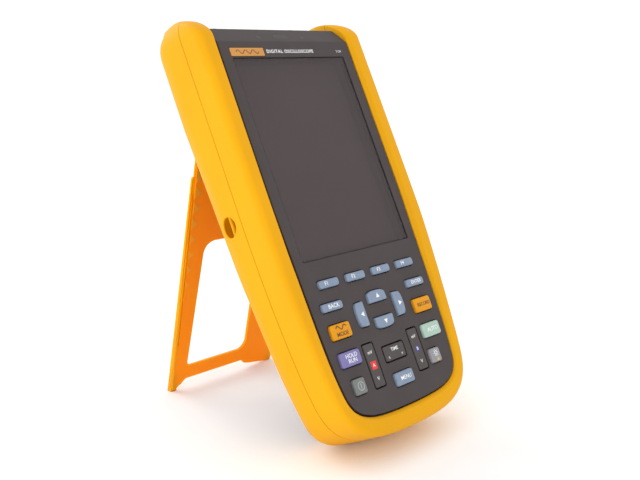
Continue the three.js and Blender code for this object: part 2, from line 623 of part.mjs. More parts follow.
const doorScrew = makeScrew([0, DOOR_SCREW.v], DOOR_SCREW.head, DOOR_SCREW.shaft, 4.6);
add('battery_door_screw', doorScrew, COLOUR.steel, 0.4, 0.9);

for (const [name, side, color] of [['a', -1, COLOUR.red], ['b', 1, COLOUR.grey]]) {
  add(`input_${name}_shroud`, makeShroud(side * JACK_PITCH), color, 0.5);
  add(`input_${name}_socket`, makeSocket(side * JACK_PITCH), COLOUR.steel, 0.3, 1);
}
add('com_jack', makeComJack(), COLOUR.black, 0.5);
add('dc_inlet', makeDcInlet(), COLOUR.black, 0.5);
add('optical_port', portBox(0, 10, PORT.depth), COLOUR.black, 0.2);

for (const [name, side] of [['left', -1], ['right', 1]]) {
  const centre = [side * (HALF_WIDTH - STRAP.inset), 0, STRAP.n];
  const bar = rod('v', STRAP.bar, STRAP.v - STRAP.reach, STRAP.v + STRAP.reach, centre, 12);
  add(`strap_bar_${name}`, bar, COLOUR.yellow, 0.6);
}
CASE_SCREWS.forEach((at, k) => {
  add(`case_screw_${k + 1}`, makeScrew(at, 3.4, 1.6, 6), COLOUR.steel, 0.4, 0.9);
});

const hingePin = rod('u', PIN_RADIUS, -BARREL_HALF, BARREL_HALF, [0, HINGE.v, HINGE.n], 12);
add('stand_hinge_pin', hingePin, COLOUR.steel, 0.3, 1);
add('tilt_stand', makeTiltStand(standPivot.matrix.clone().invert()), COLOUR.orange, 0.55, 0, standPivot);

for (const key of KEYS) add(key.name, makeKey(key), key.colour, 0.55);
for (const rocker of ROCKERS) add(rocker.name, makeRocker(rocker), COLOUR.rocker, 0.6);

// The part's origin is the middle of its box on the surface that it stands on.
const scope = new THREE.Group();
scope.add(device);
scope.updateMatrixWorld(true);
const extent = new THREE.Box3().setFromObject(scope, true);
const middle = extent.getCenter(new THREE.Vector3());
device.position.set(-middle.x, -middle.y, -extent.min.z);
scope.updateMatrixWorld(true);

export default scope;
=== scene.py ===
"""Looks of the handheld oscilloscope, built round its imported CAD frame. Blender 4.5, metres, +Z up.

Shapes are drawn in device millimetres, as the CAD is: u across, v along the length, n out of the fascia.
"""

import json
import math

import bmesh
import bpy
from mathutils import Matrix, Vector


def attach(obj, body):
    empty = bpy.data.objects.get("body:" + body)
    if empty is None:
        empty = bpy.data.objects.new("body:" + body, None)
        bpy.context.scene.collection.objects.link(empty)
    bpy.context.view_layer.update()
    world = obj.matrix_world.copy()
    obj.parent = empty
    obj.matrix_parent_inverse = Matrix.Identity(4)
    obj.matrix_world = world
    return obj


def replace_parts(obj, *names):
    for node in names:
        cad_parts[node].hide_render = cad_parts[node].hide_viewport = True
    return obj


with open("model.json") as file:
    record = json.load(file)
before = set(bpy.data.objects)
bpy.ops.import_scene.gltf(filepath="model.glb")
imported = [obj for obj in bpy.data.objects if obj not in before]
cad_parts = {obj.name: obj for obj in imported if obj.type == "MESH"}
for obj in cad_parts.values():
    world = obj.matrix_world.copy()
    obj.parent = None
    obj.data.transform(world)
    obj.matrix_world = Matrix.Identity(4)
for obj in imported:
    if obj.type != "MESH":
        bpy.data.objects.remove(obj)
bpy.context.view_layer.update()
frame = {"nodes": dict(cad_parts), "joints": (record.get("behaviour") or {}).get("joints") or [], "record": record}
nodes = frame["nodes"]
joints = {joint["name"]: joint for joint in frame["joints"]}
scene = bpy.context.scene

# ---- Driving dimensions, in millimetres and degrees ----
MM = 0.001
LENGTH = 259
HALF_WIDTH = 66
FASCIA_HALF_WIDTH = 53.6
FASCIA_TOP = 235.8
TOP_SLOPE = (12, 8)
HORN_START = 242
CAVITY_TOP = 239
WALL = 2.6
UNDER_RIM = -3.4
RIM_SLOPE = 1.15
RIDGE_TOP = 2.6
RIDGE_BOTTOM = 1.4
FRONT_ROUND = 10.2
FRONT_ROUND_SHARE = 0.82
REAR_ROUND_SIDE = 23
REAR_ROUND_BOTTOM = 8.5
REAR_PANEL = -41.8
PARTING_GAP = 0.2
HORN_ROUND_LENGTH = 20
HORN_ROUND_DEPTH = 30
HORN_ROUND_POWER = 1.6
HORN_REAR_ROUND = 7
SKIN_TOP = 0.15
SKIN_BOTTOM = -0.4
WINDOW_CENTRE = (0, 164.8)
BADGE_CENTRE = (-32.95, 229.25)
KEY_TOP = 2.0
KEY_ARCH = 1.25
ROCKER_TOP = 0.35
HINGE = Vector((0, 208.5, -43.6))
STAND_OPEN = 39
STAND_LENGTH = 186.9
STRAP = {"v": 136, "n": -25, "pocket": 7.5, "depth": 7.4, "lip": 1.7}
JACK_N = -30
JACK_PITCH = 31
MARK_PITCH = 18
JACK_PLATE = 246.5
WINDOW_HALF = (45, 60.6)
BADGE_HALF = (12.55, 2.55)
REAR_OPENING = {"half_u": 49.3, "bottom": 14, "top": 216, "floor": REAR_PANEL + 1.2}
INLET = {"v": 70, "n": -26, "hole": 5.1}
PORT = {"v": 98, "n": -26, "half_v": 9.4, "half_n": 5}
INK_THICKNESS = 0.06
CAMERA_PLACE = (-365.4, 57.3, 342.3)
CAMERA_AIM = (-27.1, 114.4, 0)
CAMERA_LENS = 48.9
FLOOR_REACH = 3000

# ---- Device frame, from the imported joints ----
OUT = -Vector(joints["key_f1_press"]["axis"]).normalized()
ACROSS = Vector((1, 0, 0))
ALONG = OUT.cross(ACROSS)
ORIGIN = Vector(joints["stand_tilt"]["pos_m"]) - (ALONG * HINGE.y + OUT * HINGE.z) * MM
TURN = Matrix((ACROSS, ALONG, OUT)).transposed().to_4x4()
DEVICE = Matrix.Translation(ORIGIN) @ TURN @ Matrix.Scale(MM, 4)
STAND = DEVICE @ Matrix.Translation(HINGE) @ Matrix.Rotation(math.radians(STAND_OPEN), 4, "X")


def at(u, v, n):
    """A device point in the row frame."""
    return DEVICE @ Vector((u, v, n))


# ---- Camera, lights and floor ----
def add_camera():
    data = bpy.data.cameras.new("camera")
    data.lens = CAMERA_LENS
    data.sensor_width = 36
    camera = bpy.data.objects.new("camera", data)
    camera.location = at(*CAMERA_PLACE)
    aim = at(*CAMERA_AIM) - camera.location
    camera.rotation_euler = aim.to_track_quat("-Z", "Y").to_euler()
    scene.collection.objects.link(camera)
    scene.camera = camera


def add_area(name, place, size, power, aim=(0, 0, 0.12)):
    """Round white lamp of that size in metres and power in watts, turned to its aim."""
    data = bpy.data.lights.new(name, "AREA")
    data.shape = "DISK"
    data.size = size
    data.energy = power
    lamp = bpy.data.objects.new(name, data)
    lamp.location = place
    lamp.rotation_euler = (Vector(aim) - Vector(place)).to_track_quat("-Z", "Y").to_euler()
    scene.collection.objects.link(lamp)


def add_studio():
    scene.view_settings.view_transform = "Standard"
    world = bpy.data.worlds.new("studio")
    world.use_nodes = True
    world.node_tree.nodes["Background"].inputs["Color"].default_value = (1, 1, 1, 1)
    world.node_tree.nodes["Background"].inputs["Strength"].default_value = 1.1
    scene.world = world
    add_area("key_light", (-1.15, -0.45, 0.40), 0.6, 1.4)
    add_area("back_light", (-0.2, 1.1, 0.9), 1.0, 4.0)
    add_area("low_light", (-0.7, -0.02, 0.08), 0.3, 1.1, aim=(0, 0.06, 0.08))
    mesh = bpy.data.meshes.new("floor")
    reach = FLOOR_REACH * MM
    corners = [(-reach, -reach, 0), (reach, -reach, 0), (reach, reach, 0), (-reach, reach, 0)]
    mesh.from_pydata(corners, [], [(0, 1, 2, 3)])
    floor = bpy.data.objects.new("floor", mesh)
    scene.collection.objects.link(floor)
    paper, tree, shader = new_material("floor_paper")
    noise = texture(tree, 14, 3)
    colour = blend_colours(tree, noise, (0.95, 0.95, 0.95), (0.98, 0.98, 0.98))
    tree.links.new(colour, shader.inputs["Base Color"])
    shader.inputs["Roughness"].default_value = 0.9
    floor.data.materials.append(paper)


# ---- Materials ----
# Share of the noise over which a colour or a roughness runs from its low value to its high one.
NOISE_BAND = (0.3, 0.7)


def new_material(name):
    material = bpy.data.materials.new(f"{name}_finish")
    material.use_nodes = True
    return material, material.node_tree, material.node_tree.nodes["Principled BSDF"]


def texture(tree, scale, detail=4, roughness=0.55, stretch=(1, 1, 1)):
    """Noise at that many features a metre."""
    coords = tree.nodes.new("ShaderNodeTexCoord")
    mapping = tree.nodes.new("ShaderNodeMapping")
    mapping.inputs["Scale"].default_value = stretch
    noise = tree.nodes.new("ShaderNodeTexNoise")
    noise.inputs["Scale"].default_value = scale
    noise.inputs["Detail"].default_value = detail
    noise.inputs["Roughness"].default_value = roughness
    tree.links.new(coords.outputs["Object"], mapping.inputs["Vector"])
    tree.links.new(mapping.outputs["Vector"], noise.inputs["Vector"])
    return noise.outputs["Fac"]


def blend_colours(tree, factor, low, high):
    ramp = tree.nodes.new("ShaderNodeValToRGB")
    for element, place, colour in zip(ramp.color_ramp.elements, NOISE_BAND, (low, high)):
        element.position = place
        element.color = (*colour, 1)
    tree.links.new(factor, ramp.inputs["Fac"])
    return ramp.outputs["Color"]


def spread(tree, factor, low, high):
    node = tree.nodes.new("ShaderNodeMapRange")
    node.inputs["From Min"].default_value = NOISE_BAND[0]
    node.inputs["From Max"].default_value = NOISE_BAND[1]
    node.inputs["To Min"].default_value = low
    node.inputs["To Max"].default_value = high
    tree.links.new(factor, node.inputs["Value"])
    return node.outputs["Result"]


def moulded(name, colour, rough=0.5, grain=1400, relief=0.12, mottle=0.05, patches=45, metal=0.0, shine=0.5,
            stretch=(1, 1, 1), glow=0.0):
    """Moulded surface: soft mottling, a fine grain in relief, and roughness that follows the grain.

    Glow is the share of light that scatters inside the plastic and comes through a thin wall.
    """
    material, tree, shader = new_material(name)
    patch = texture(tree, patches, 3, stretch=stretch)
    low = [c * (1 - mottle) for c in colour]
    high = [min(1, c * (1 + mottle)) for c in colour]
    tree.links.new(blend_colours(tree, patch, low, high), shader.inputs["Base Color"])
    fine = texture(tree, grain, 5, 0.6, stretch)
    roughness = spread(tree, fine, max(0.02, rough - 0.07), min(1, rough + 0.09))
    tree.links.new(roughness, shader.inputs["Roughness"])
    bump = tree.nodes.new("ShaderNodeBump")
    bump.inputs["Strength"].default_value = relief
    bump.inputs["Distance"].default_value = 0.00025
    tree.links.new(fine, bump.inputs["Height"])
    tree.links.new(bump.outputs["Normal"], shader.inputs["Normal"])
    shader.inputs["Metallic"].default_value = metal
    shader.inputs["Specular IOR Level"].default_value = shine
    shader.inputs["Subsurface Weight"].default_value = glow
    shader.inputs["Subsurface Radius"].default_value = (1.0, 0.55, 0.1)
    shader.inputs["Subsurface Scale"].default_value = 0.009
    return material


def smoky_window(name):
    """Hard-coated clear window with a brown smoke tint."""
    material, tree, shader = new_material(name)
    colour = blend_colours(tree, texture(tree, 18, 2), (0.100, 0.081, 0.083), (0.110, 0.089, 0.091))
    tree.links.new(colour, shader.inputs["Base Color"])
    tree.links.new(spread(tree, texture(tree, 260, 3), 0.05, 0.10), shader.inputs["Roughness"])
    shader.inputs["Alpha"].default_value = 0.5
    shader.inputs["Specular IOR Level"].default_value = 0.15
    return material


YELLOW = (0.75, 0.355, 0.0025)
ORANGE = (1.0, 0.29, 0.001)
# Lighter, yellower copy of the stand's orange for the saw teeth: a painted highlight for the light that the raised
# teeth catch, not a different plastic.
TOOTH_PAINTED_LIGHT = (1.0, 0.36, 0.008)
FASCIA = (0.070, 0.058, 0.058)
MATERIALS = {
    "bumper_rubber": moulded("bumper_rubber", YELLOW, 0.5, 2200, 0.10, 0.03, 22, shine=0.12),
    "fascia_plastic": moulded("fascia_plastic", FASCIA, 0.6, 2600, 0.22, 0.05, 60, shine=0.15),
    "case_plastic": moulded("case_plastic", (0.040, 0.039, 0.042), 0.6, 1900, 0.3, 0.08, 60),
    "display_window": smoky_window("display_window"),
    "dark_plastic": moulded("dark_plastic", (0.012, 0.010, 0.011), 0.55, 1800, 0.15, 0.15, shine=0.25),
    "lcd": moulded("lcd", (0.170, 0.130, 0.133), 0.5, 500, 0.01, 0.04, 20, shine=0.1),
    "badge": moulded("badge", (0.56, 0.25, 0.045), 0.38, 1600, 0.05, 0.05),
    "silicone_mat": moulded("silicone_mat", (0.05, 0.05, 0.055), 0.8, 1500, 0.2, 0.08),
    "circuit_board": moulded("circuit_board", (0.02, 0.12, 0.05), 0.4, 900, 0.1, 0.2, 300),
    "sheet_metal": moulded("sheet_metal", (0.55, 0.55, 0.57), 0.34, 700, 0.1, 0.08, 40, 1.0,
                           stretch=(1, 12, 1)),
    "battery_wrap": moulded("battery_wrap", (0.03, 0.05, 0.14), 0.35, 600, 0.1, 0.1),
    "screw_steel": moulded("screw_steel", (0.50, 0.50, 0.52), 0.3, 2400, 0.12, 0.1, 200, 1.0),
    "input_a_red": moulded("input_a_red", (0.45, 0.03, 0.025), 0.45, 1800, 0.12, 0.06),
    "input_b_grey": moulded("input_b_grey", (0.27, 0.29, 0.31), 0.45, 1800, 0.12, 0.06),
    "connector_metal": moulded("connector_metal", (0.72, 0.71, 0.68), 0.2, 1500, 0.06, 0.06, 80, 1.0),
    "port_window": moulded("port_window", (0.03, 0.006, 0.008), 0.12, 900, 0.02, 0.15),
    "stand_plastic": moulded("stand_plastic", ORANGE, 0.42, 1700, 0.08, 0.03, 30, shine=0.12, glow=0.7),
    "blue_key": moulded("blue_key", (0.205, 0.265, 0.365), 0.5, 2400, 0.16, 0.05, 160),
    "yellow_key": moulded("yellow_key", (0.70, 0.29, 0.002), 0.5, 2400, 0.14, 0.05, 160, shine=0.25),
    "purple_key": moulded("purple_key", (0.185, 0.165, 0.385), 0.5, 2400, 0.16, 0.05, 160),
    "green_key": moulded("green_key", (0.37, 0.52, 0.44), 0.5, 2400, 0.14, 0.05, 160),
    "power_key": moulded("power_key", (0.165, 0.178, 0.172), 0.5, 2400, 0.16, 0.06, 160),
    "light_key": moulded("light_key", (0.270, 0.270, 0.290), 0.5, 2400, 0.16, 0.06, 160),
    "rocker_plastic": moulded("rocker_plastic", (0.055, 0.046, 0.044), 0.5, 2400, 0.18, 0.06, 120),
}
# Stand plastic with a lighter colour and more shine, used only on the teeth: painted highlight.
TOOTH_PAINTED_HIGHLIGHT = moulded("tooth_painted_highlight", TOOTH_PAINTED_LIGHT, 0.42, 1700, 0.08, 0.03, 30, shine=0.25)
INKS = {
    "white": moulded("ink_white", (0.86, 0.87, 0.88), 0.45, 3000, 0.03, 0.03),
    "black": moulded("ink_black", (0.018, 0.016, 0.016), 0.45, 3000, 0.03, 0.10),
    "grey": moulded("ink_grey", (0.40, 0.42, 0.42), 0.45, 3000, 0.03, 0.05),
    "brown": moulded("ink_brown", (0.13, 0.030, 0.005), 0.45, 3000, 0.03, 0.10),
    "red": moulded("ink_red", (0.78, 0.022, 0.018), 0.4, 3000, 0.03, 0.05),
    "blue": moulded("ink_blue", (0.045, 0.035, 0.26), 0.4, 3000, 0.03, 0.05),
    "amber": moulded("ink_amber", (0.85, 0.48, 0.02), 0.4, 3000, 0.03, 0.05),
}


# ---- Mesh helpers ----
# Cosine and sine of no turn and of one, two and three quarter turns.
QUARTER_TURNS = ((1, 0), (0, 1), (-1, 0), (0, -1))


def settle(mesh, name, body, slot, material=None, matrix=DEVICE, sharp=38):
    """Turns a mesh in millimetres into a shown piece that rides on its body."""
    bm = bmesh.new()
    bm.from_mesh(mesh)
    bmesh.ops.transform(bm, matrix=matrix, verts=bm.verts)
    for face in bm.faces:
        face.smooth = True
    for edge in bm.edges:
        if len(edge.link_faces) == 2:
            edge.smooth = edge.calc_face_angle(0) < math.radians(sharp)
    bm.to_mesh(mesh)
    bm.free()
    mesh.name = name
    piece = bpy.data.objects.new(name, mesh)
    scene.collection.objects.link(piece)
    mesh.materials.clear()
    mesh.materials.append(material or MATERIALS[slot])
    shading = piece.modifiers.new("shading", "WEIGHTED_NORMAL")
    shading.keep_sharp = True
    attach(piece, body)
    return piece


def finished_mesh(bm, name):
    """Mesh of the faces built so far, with doubled points welded and its normals outward."""
    bmesh.ops.remove_doubles(bm, verts=bm.verts, dist=1e-5)
    bmesh.ops.dissolve_degenerate(bm, edges=bm.edges, dist=1e-5)
    bmesh.ops.recalc_face_normals(bm, faces=bm.faces)
    mesh = bpy.data.meshes.new(name)
    bm.to_mesh(mesh)
    bm.free()
    return mesh


def loft_mesh(rings):
    """Closed skin through rings of equal size, capped at both ends."""
    bm = bmesh.new()
    rows = [[bm.verts.new(point) for point in ring] for ring in rings]
    size = len(rows[0])
    for a, b in zip(rows, rows[1:]):
        for i in range(size):
            j = (i + 1) % size
            bm.faces.new((a[i], a[j], b[j], b[i]))
    bm.faces.new(rows[0])
    bm.faces.new(rows[-1])
    return finished_mesh(bm, "loft")


def lathe_mesh(profile, axis, centre, sides=48):
    """Closed profile of (radius, distance along the axis) turned round an axis through a point."""
    direction = Vector(axis).normalized()
    side = direction.orthogonal().normalized()
    other = direction.cross(side)
    bm = bmesh.new()
    rows = []
    for k in range(sides):
        angle = 2 * math.pi * k / sides
        ray = side * math.cos(angle) + other * math.sin(angle)
        rows.append([bm.verts.new(Vector(centre) + ray * r + direction * h) for r, h in profile])
    for k in range(sides):
        a, b = rows[k], rows[(k + 1) % sides]
        for i in range(len(profile)):
            j = (i + 1) % len(profile)
            bm.faces.new((a[i], a[j], b[j], b[i]))
    return finished_mesh(bm, "lathe")


def rounded_loop(corners, steps=4):
    """Closed 2D loop from (x, y, cut) corners, each rounded by an arc that starts cut away from it."""
    points = []
    count = len(corners)
    for i, (x, y, cut) in enumerate(corners):
        corner = Vector((x, y))
        before = Vector(corners[i - 1][:2]) - corner
        after = Vector(corners[(i + 1) % count][:2]) - corner
        reach = min(cut, before.length * 0.48, after.length * 0.48)
        if reach < 1e-6:
            points.append(corner)
            continue
        start = corner + before.normalized() * reach
        end = corner + after.normalized() * reach
        weight = math.sin(before.angle(after) / 2)
        for k in range(steps + 1):
            t = k / steps
            a, b, c = (1 - t) ** 2, 2 * weight * t * (1 - t), t * t
            points.append((start * a + corner * b + end * c) / (a + b + c))
    return points


def rounded_rectangle(half_u, half_v, radius, centre=(0, 0), steps=6):
    signs = [(1, 1), (-1, 1), (-1, -1), (1, -1)]
    corners = [(centre[0] + su * half_u, centre[1] + sv * half_v, radius) for su, sv in signs]
    return [tuple(p) for p in rounded_loop(corners, steps)]


def grown(half, extra, radius, centre):
    """Rounded rectangle of half sizes made larger by extra all round."""
    return rounded_rectangle(half[0] + extra, half[1] + extra, radius, centre)


def plate_mesh(outline, holes, low, high, bevel=0.0):
    """Flat plate between two heights, with holes and rounded edges."""
    curve = bpy.data.curves.new("plate", "CURVE")
    curve.dimensions = "2D"
    curve.fill_mode = "BOTH"
    curve.extrude = (high - low) / 2 - bevel
    curve.bevel_depth = bevel
    curve.bevel_resolution = 2
    curve.offset = -bevel
    for loop in [outline, *holes]:
        spline = curve.splines.new("POLY")
        spline.points.add(len(loop) - 1)
        for point, (x, y) in zip(spline.points, loop):
            point.co = (x, y, 0, 1)
        spline.use_cyclic_u = True
    holder = bpy.data.objects.new("plate", curve)
    scene.collection.objects.link(holder)
    mesh = evaluated_mesh(holder)
    bpy.data.objects.remove(holder)
    bpy.data.curves.remove(curve)
    bm = bmesh.new()
    bm.from_mesh(mesh)
    bmesh.ops.remove_doubles(bm, verts=bm.verts, dist=1e-4)
    bmesh.ops.translate(bm, verts=bm.verts, vec=(0, 0, (low + high) / 2))
    bmesh.ops.recalc_face_normals(bm, faces=bm.faces)
    bm.to_mesh(mesh)
    bm.free()
    return mesh


def evaluated_mesh(obj):
    bpy.context.view_layer.update()
    graph = bpy.context.evaluated_depsgraph_get()
    final = obj.evaluated_get(graph)
    return bpy.data.meshes.new_from_object(final, preserve_all_data_layers=False, depsgraph=graph)


def carve(mesh, cutters):
    """A millimetre mesh with the cutters, which are used up, taken away from it."""
    body = bpy.data.objects.new("carved", mesh)
    scene.collection.objects.link(body)
    tools = []
    for cutter in cutters:
        tool = bpy.data.objects.new("cutter", cutter)
        scene.collection.objects.link(tool)
        modifier = body.modifiers.new("cut", "BOOLEAN")
        modifier.operation = "DIFFERENCE"
        modifier.solver = "EXACT"
        modifier.object = tool
        tools.append(tool)
    result = evaluated_mesh(body)
    for thing in [body, *tools]:
        bpy.data.objects.remove(thing)
    return result


def bar_mesh(corners_vn, u0, u1, cut):
    """Bar across the device: (v, n) corners rounded and pushed from u0 to u1, with eased ends."""
    loop = rounded_loop([(v, n, cut) for v, n in corners_vn], 3)
    middle = sum(loop, Vector((0, 0))) / len(loop)
    reach = max((p - middle).length for p in loop)
    shrink = 1 - min(0.4, 0.35 / reach)
    rings = []
    for u, scale in ((u0, shrink), (u0 + 0.35, 1), (u1 - 0.35, 1), (u1, shrink)):
        rings.append([Vector((u, *(middle + (p - middle) * scale))) for p in loop])
    return loft_mesh(rings)


# ---- Bumper ----
SIDE_STATIONS = [
    (0, 0, 0, 11.5), (15, 0.4, 13, 11.7), (28, 1.8, 24.5, 12.4), (38, 4.6, 33, 13.8),
    (46.5, 9.6, 39.9, 16.5), (52.4, 16.5, 44.8, 20.6), (56, 25, 47.7, 26.8), (58.3, 36, 49.3, 36.5),
    (60.1, 48, 50.4, 48.2), (62.2, 66, 51.4, 66), (64.2, 88, 52.2, 88), (65.6, 110, 52.9, 110),
    *[(HALF_WIDTH, v, FASCIA_HALF_WIDTH, v) for v in (135, 165, 200, 228, FASCIA_TOP)],
]


def ramp(value, start, end, low, high):
    """Runs evenly from low to high between start and end, and stays level outside them."""
    share = min(1, max(0, (value - start) / (end - start)))
    return low + (high - low) * share


def spline(p, q, r, s, t):
    """Catmull-Rom value between q and r, with neighbours p and s."""
    linear = (r - p) * t
    square = (2 * p - 5 * q + 4 * r - s) * t * t
    cube = (3 * q - p - 3 * r + s) * t ** 3
    return 0.5 * (2 * q + linear + square + cube)


def smooth_path(points, steps):
    """Smooth curve through the points."""
    path = []
    for i in range(len(points) - 1):
        before = points[max(i - 1, 0)]
        a, b = points[i], points[i + 1]
        after = points[min(i + 2, len(points) - 1)]
        for k in range(steps):
            path.append(tuple(spline(*four, k / steps) for four in zip(before, a, b, after)))
    path.append(points[-1])
    return path


def side_path():
    """Outer and fascia edge points along the left side, round the bottom and along the right side."""
    mirrored = [(-u, v, -qu, qv) for u, v, qu, qv in SIDE_STATIONS[:0:-1]]
    return smooth_path(mirrored + SIDE_STATIONS, 5)


def horn_front(v):
    """Height of the front ridge along a horn, rounded down to its tip."""
    inset = min(HORN_ROUND_LENGTH, max(0, LENGTH - v))
    x = (1 - (1 - inset / HORN_ROUND_LENGTH) ** HORN_ROUND_POWER) ** (1 / HORN_ROUND_POWER)
    return RIDGE_TOP - HORN_ROUND_DEPTH * (1 - x)


def horn_station(v):
    """Outer and fascia edge points of the right horn, which narrows towards its tip."""
    t = min(1, max(0, (v - HORN_START) / (LENGTH - HORN_START)))
    return (HALF_WIDTH - 8.2 * t ** 2.4, v, FASCIA_HALF_WIDTH + 2 * t ** 5, v)


def parting(v):
    """Height of the line where the front and rear bumper meet."""
    return ramp(v, 45, 110, -15.3, -13.5) if v > 45 else ramp(v, -20, 45, -15.8, -15.3)


class Station:
    """Sizes of the bumper's section between an outer point P and a fascia point Q."""

    def __init__(self, raw, solid=False):
        pu, pv, qu, qv = raw
        self.outer = Vector((pu, pv))
        self.width = math.hypot(qu - pu, qv - pv)
        self.inward = Vector((qu - pu, qv - pv)) / self.width
        self.solid = solid
        back = ramp(pv, 94, 133, -45, -46.4) if pv < 133 else ramp(pv, 133, 200, -46.4, -50)
        over = HORN_REAR_ROUND - min(HORN_REAR_ROUND, max(0, LENGTH - pv))
        self.back = back + HORN_REAR_ROUND - math.sqrt(HORN_REAR_ROUND ** 2 - over ** 2)
        self.ridge = horn_front(pv) if pv > FASCIA_TOP else ramp(pv, 50, 120, RIDGE_BOTTOM, RIDGE_TOP)
        self.front = min(FRONT_ROUND, self.width * FRONT_ROUND_SHARE)
        rear = REAR_ROUND_BOTTOM + (REAR_ROUND_SIDE - REAR_ROUND_BOTTOM) * self.inward.x ** 2
        self.rear = min(rear, (self.ridge - self.back - self.front) * 0.8)

    def place(self, inset, n):
        point = self.outer + self.inward * inset
        return Vector((point.x, point.y, n))

    def section(self):
        """Loop from the rear round, up the outside, over the ridge and back along the inner wall."""
        width, ridge, front, rear, back = self.width, self.ridge, self.front, self.rear, self.back
        ease = min(0.9, front * 0.2)
        lip = ridge - (width - front) * RIM_SLOPE
        corners = [(0, ridge, front - ease), (front, ridge, ease), (width, lip, 0.5)]
        rim = rounded_loop([(0, back + rear, 0), *corners, (width, lip - 8, 0)], 7)[1:-1]
        points = []
        steps = 14
        limit = math.acos(max(0, 1 - width / rear)) if width < rear else math.pi / 2
        for k in range(steps + 1):
            angle = limit * (1 - k / steps)
            points.append((rear * (1 - math.cos(angle)), back + rear * (1 - math.sin(angle))))
        points += [tuple(p) for p in rim]
        top = min(UNDER_RIM, lip - 0.7)
        wall = width if self.solid else WALL
        inner = [(width, top), (wall, top), (wall, back + rear)]
        turn = rear - WALL
        span = max(0, width - WALL)
        limit = math.acos(1 - span / turn) if span < turn else math.pi / 2
        for k in range(1, 9):
            angle = limit * k / 8
            inset = WALL + turn * (1 - math.cos(angle))
            inner.append((width if self.solid else inset, back + WALL + turn * (1 - math.sin(angle))))
        inner.append((width, inner[-1][1]))
        foot = rear * (1 - math.sin(math.acos(1 - width / rear))) if width < rear else 0
        inner.append((width, back + foot + 0.5))
        level = lip - 0.6
        for inset, n in inner:
            level = min(n, level - 0.01)
            points.append((inset, level))
        end = points[0]
        points.append((end[0] - 0.4, end[1] + (0.02 if width >= rear else -0.05)))
        return [self.place(*point) for point in points[1:]]


def bumper_mesh():
    """Closed U of bumper from one horn's tip, round the bottom, to the other's."""
    sides = [Station(raw) for raw in side_path()]
    heights = [CAVITY_TOP - 0.03, CAVITY_TOP]
    heights += [240.5 + 1.5 * k for k in range(8)]
    heights += [252.3, 253.5, 254.6, 255.6, 256.4, 257.1, 257.7, 258.2, 258.6, 258.85]
    right = [Station(horn_station(v), solid=v >= CAVITY_TOP) for v in heights]
    left = []
    for v in reversed(heights):
        u, _, qu, _ = horn_station(v)
        left.append(Station((-u, v, -qu, v), solid=v >= CAVITY_TOP))
    return loft_mesh([s.section() for s in [*left, *sides, *right]])


def part_bumper(mesh, front):
    """Keeps the front or the rear half, split along the parting line."""
    bm = bmesh.new()
    bm.from_mesh(mesh)
    for vert in bm.verts:
        vert.co.z -= parting(vert.co.y)
    level = PARTING_GAP if front else -PARTING_GAP
    whole = [*bm.verts, *bm.edges, *bm.faces]
    cut = bmesh.ops.bisect_plane(bm, geom=whole, plane_co=(0, 0, level), plane_no=(0, 0, 1), dist=1e-4,
                                 clear_inner=front, clear_outer=not front)
    rim = [e for e in cut["geom_cut"] if isinstance(e, bmesh.types.BMEdge) and e.is_valid]
    bmesh.ops.triangle_fill(bm, edges=rim, use_beauty=True, use_dissolve=False)
    for vert in bm.verts:
        vert.co.z += parting(vert.co.y)
    bmesh.ops.recalc_face_normals(bm, faces=bm.faces)
    result = bpy.data.meshes.new("bumper")
    bm.to_mesh(result)
    bm.free()
    return result


def side_rod(side, radius, deep, shallow, place):
    """Rod through a side wall, between two depths under its surface."""
    start, end = side * (HALF_WIDTH - deep), side * (HALF_WIDTH - shallow)
    profile = [(0, 0), (radius, 0), (radius, end - start), (0, end - start)]
    return lathe_mesh(profile, (1, 0, 0), (start, place["v"], place["n"]), 40)


def to_floor(mesh):
    """Lays whatever would pass through the floor flat on it."""
    for vert in mesh.vertices:
        point = DEVICE @ vert.co
        if point.z < 0:
            point.z = 0
            vert.co = DEVICE.inverted() @ point


def block_mesh(low, high):
    (a, b, c), (d, e, f) = low, high
    rings = [[Vector((a, b, n)), Vector((d, b, n)), Vector((d, e, n)), Vector((a, e, n))] for n in (c, f)]
    return loft_mesh(rings)


def make_bumpers():
    ring = bumper_mesh()
    to_floor(ring)
    front = part_bumper(ring, True)
    piece = settle(front, "bumper_front", "housing", "bumper_rubber")
    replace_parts(piece, "front_bumper")
    rear = part_bumper(ring, False)
    half, floor = REAR_OPENING["half_u"], REAR_OPENING["floor"]
    cutters = [block_mesh((-half, REAR_OPENING["bottom"], -60), (half, REAR_OPENING["top"], floor))]
    for side in (-1, 1):
        cutters.append(side_rod(side, STRAP["pocket"], 12, -3, STRAP))
    cutters.append(side_rod(1, INLET["hole"], 20, -8, INLET))
    port = rounded_rectangle(PORT["half_v"], PORT["half_n"], 1.2, (PORT["v"], PORT["n"]))
    ends = (HALF_WIDTH - 20, HALF_WIDTH + 8)
    cutters.append(loft_mesh([[Vector((u, v, n)) for v, n in port] for u in ends]))
    rear = carve(rear, cutters)
    piece = settle(rear, "bumper_rear", "housing", "bumper_rubber")
    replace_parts(piece, "rear_bumper")
    bpy.data.meshes.remove(ring)


def strap_bar(side):
    """Oval bar across the strap pocket, thicker where it meets the wall."""
    rings = []
    for k in range(13):
        t = 2 * k / 12 - 1
        radius = 1.15 + 1.1 * abs(t) ** 6
        centre = Vector((side * (HALF_WIDTH - 3.6), STRAP["v"] + t * 8.1, STRAP["n"]))
        rings.append([centre + Vector((1.25 * x, 0, z)) for x, z in circle(0, 0, radius, 16)])
    return loft_mesh(rings)


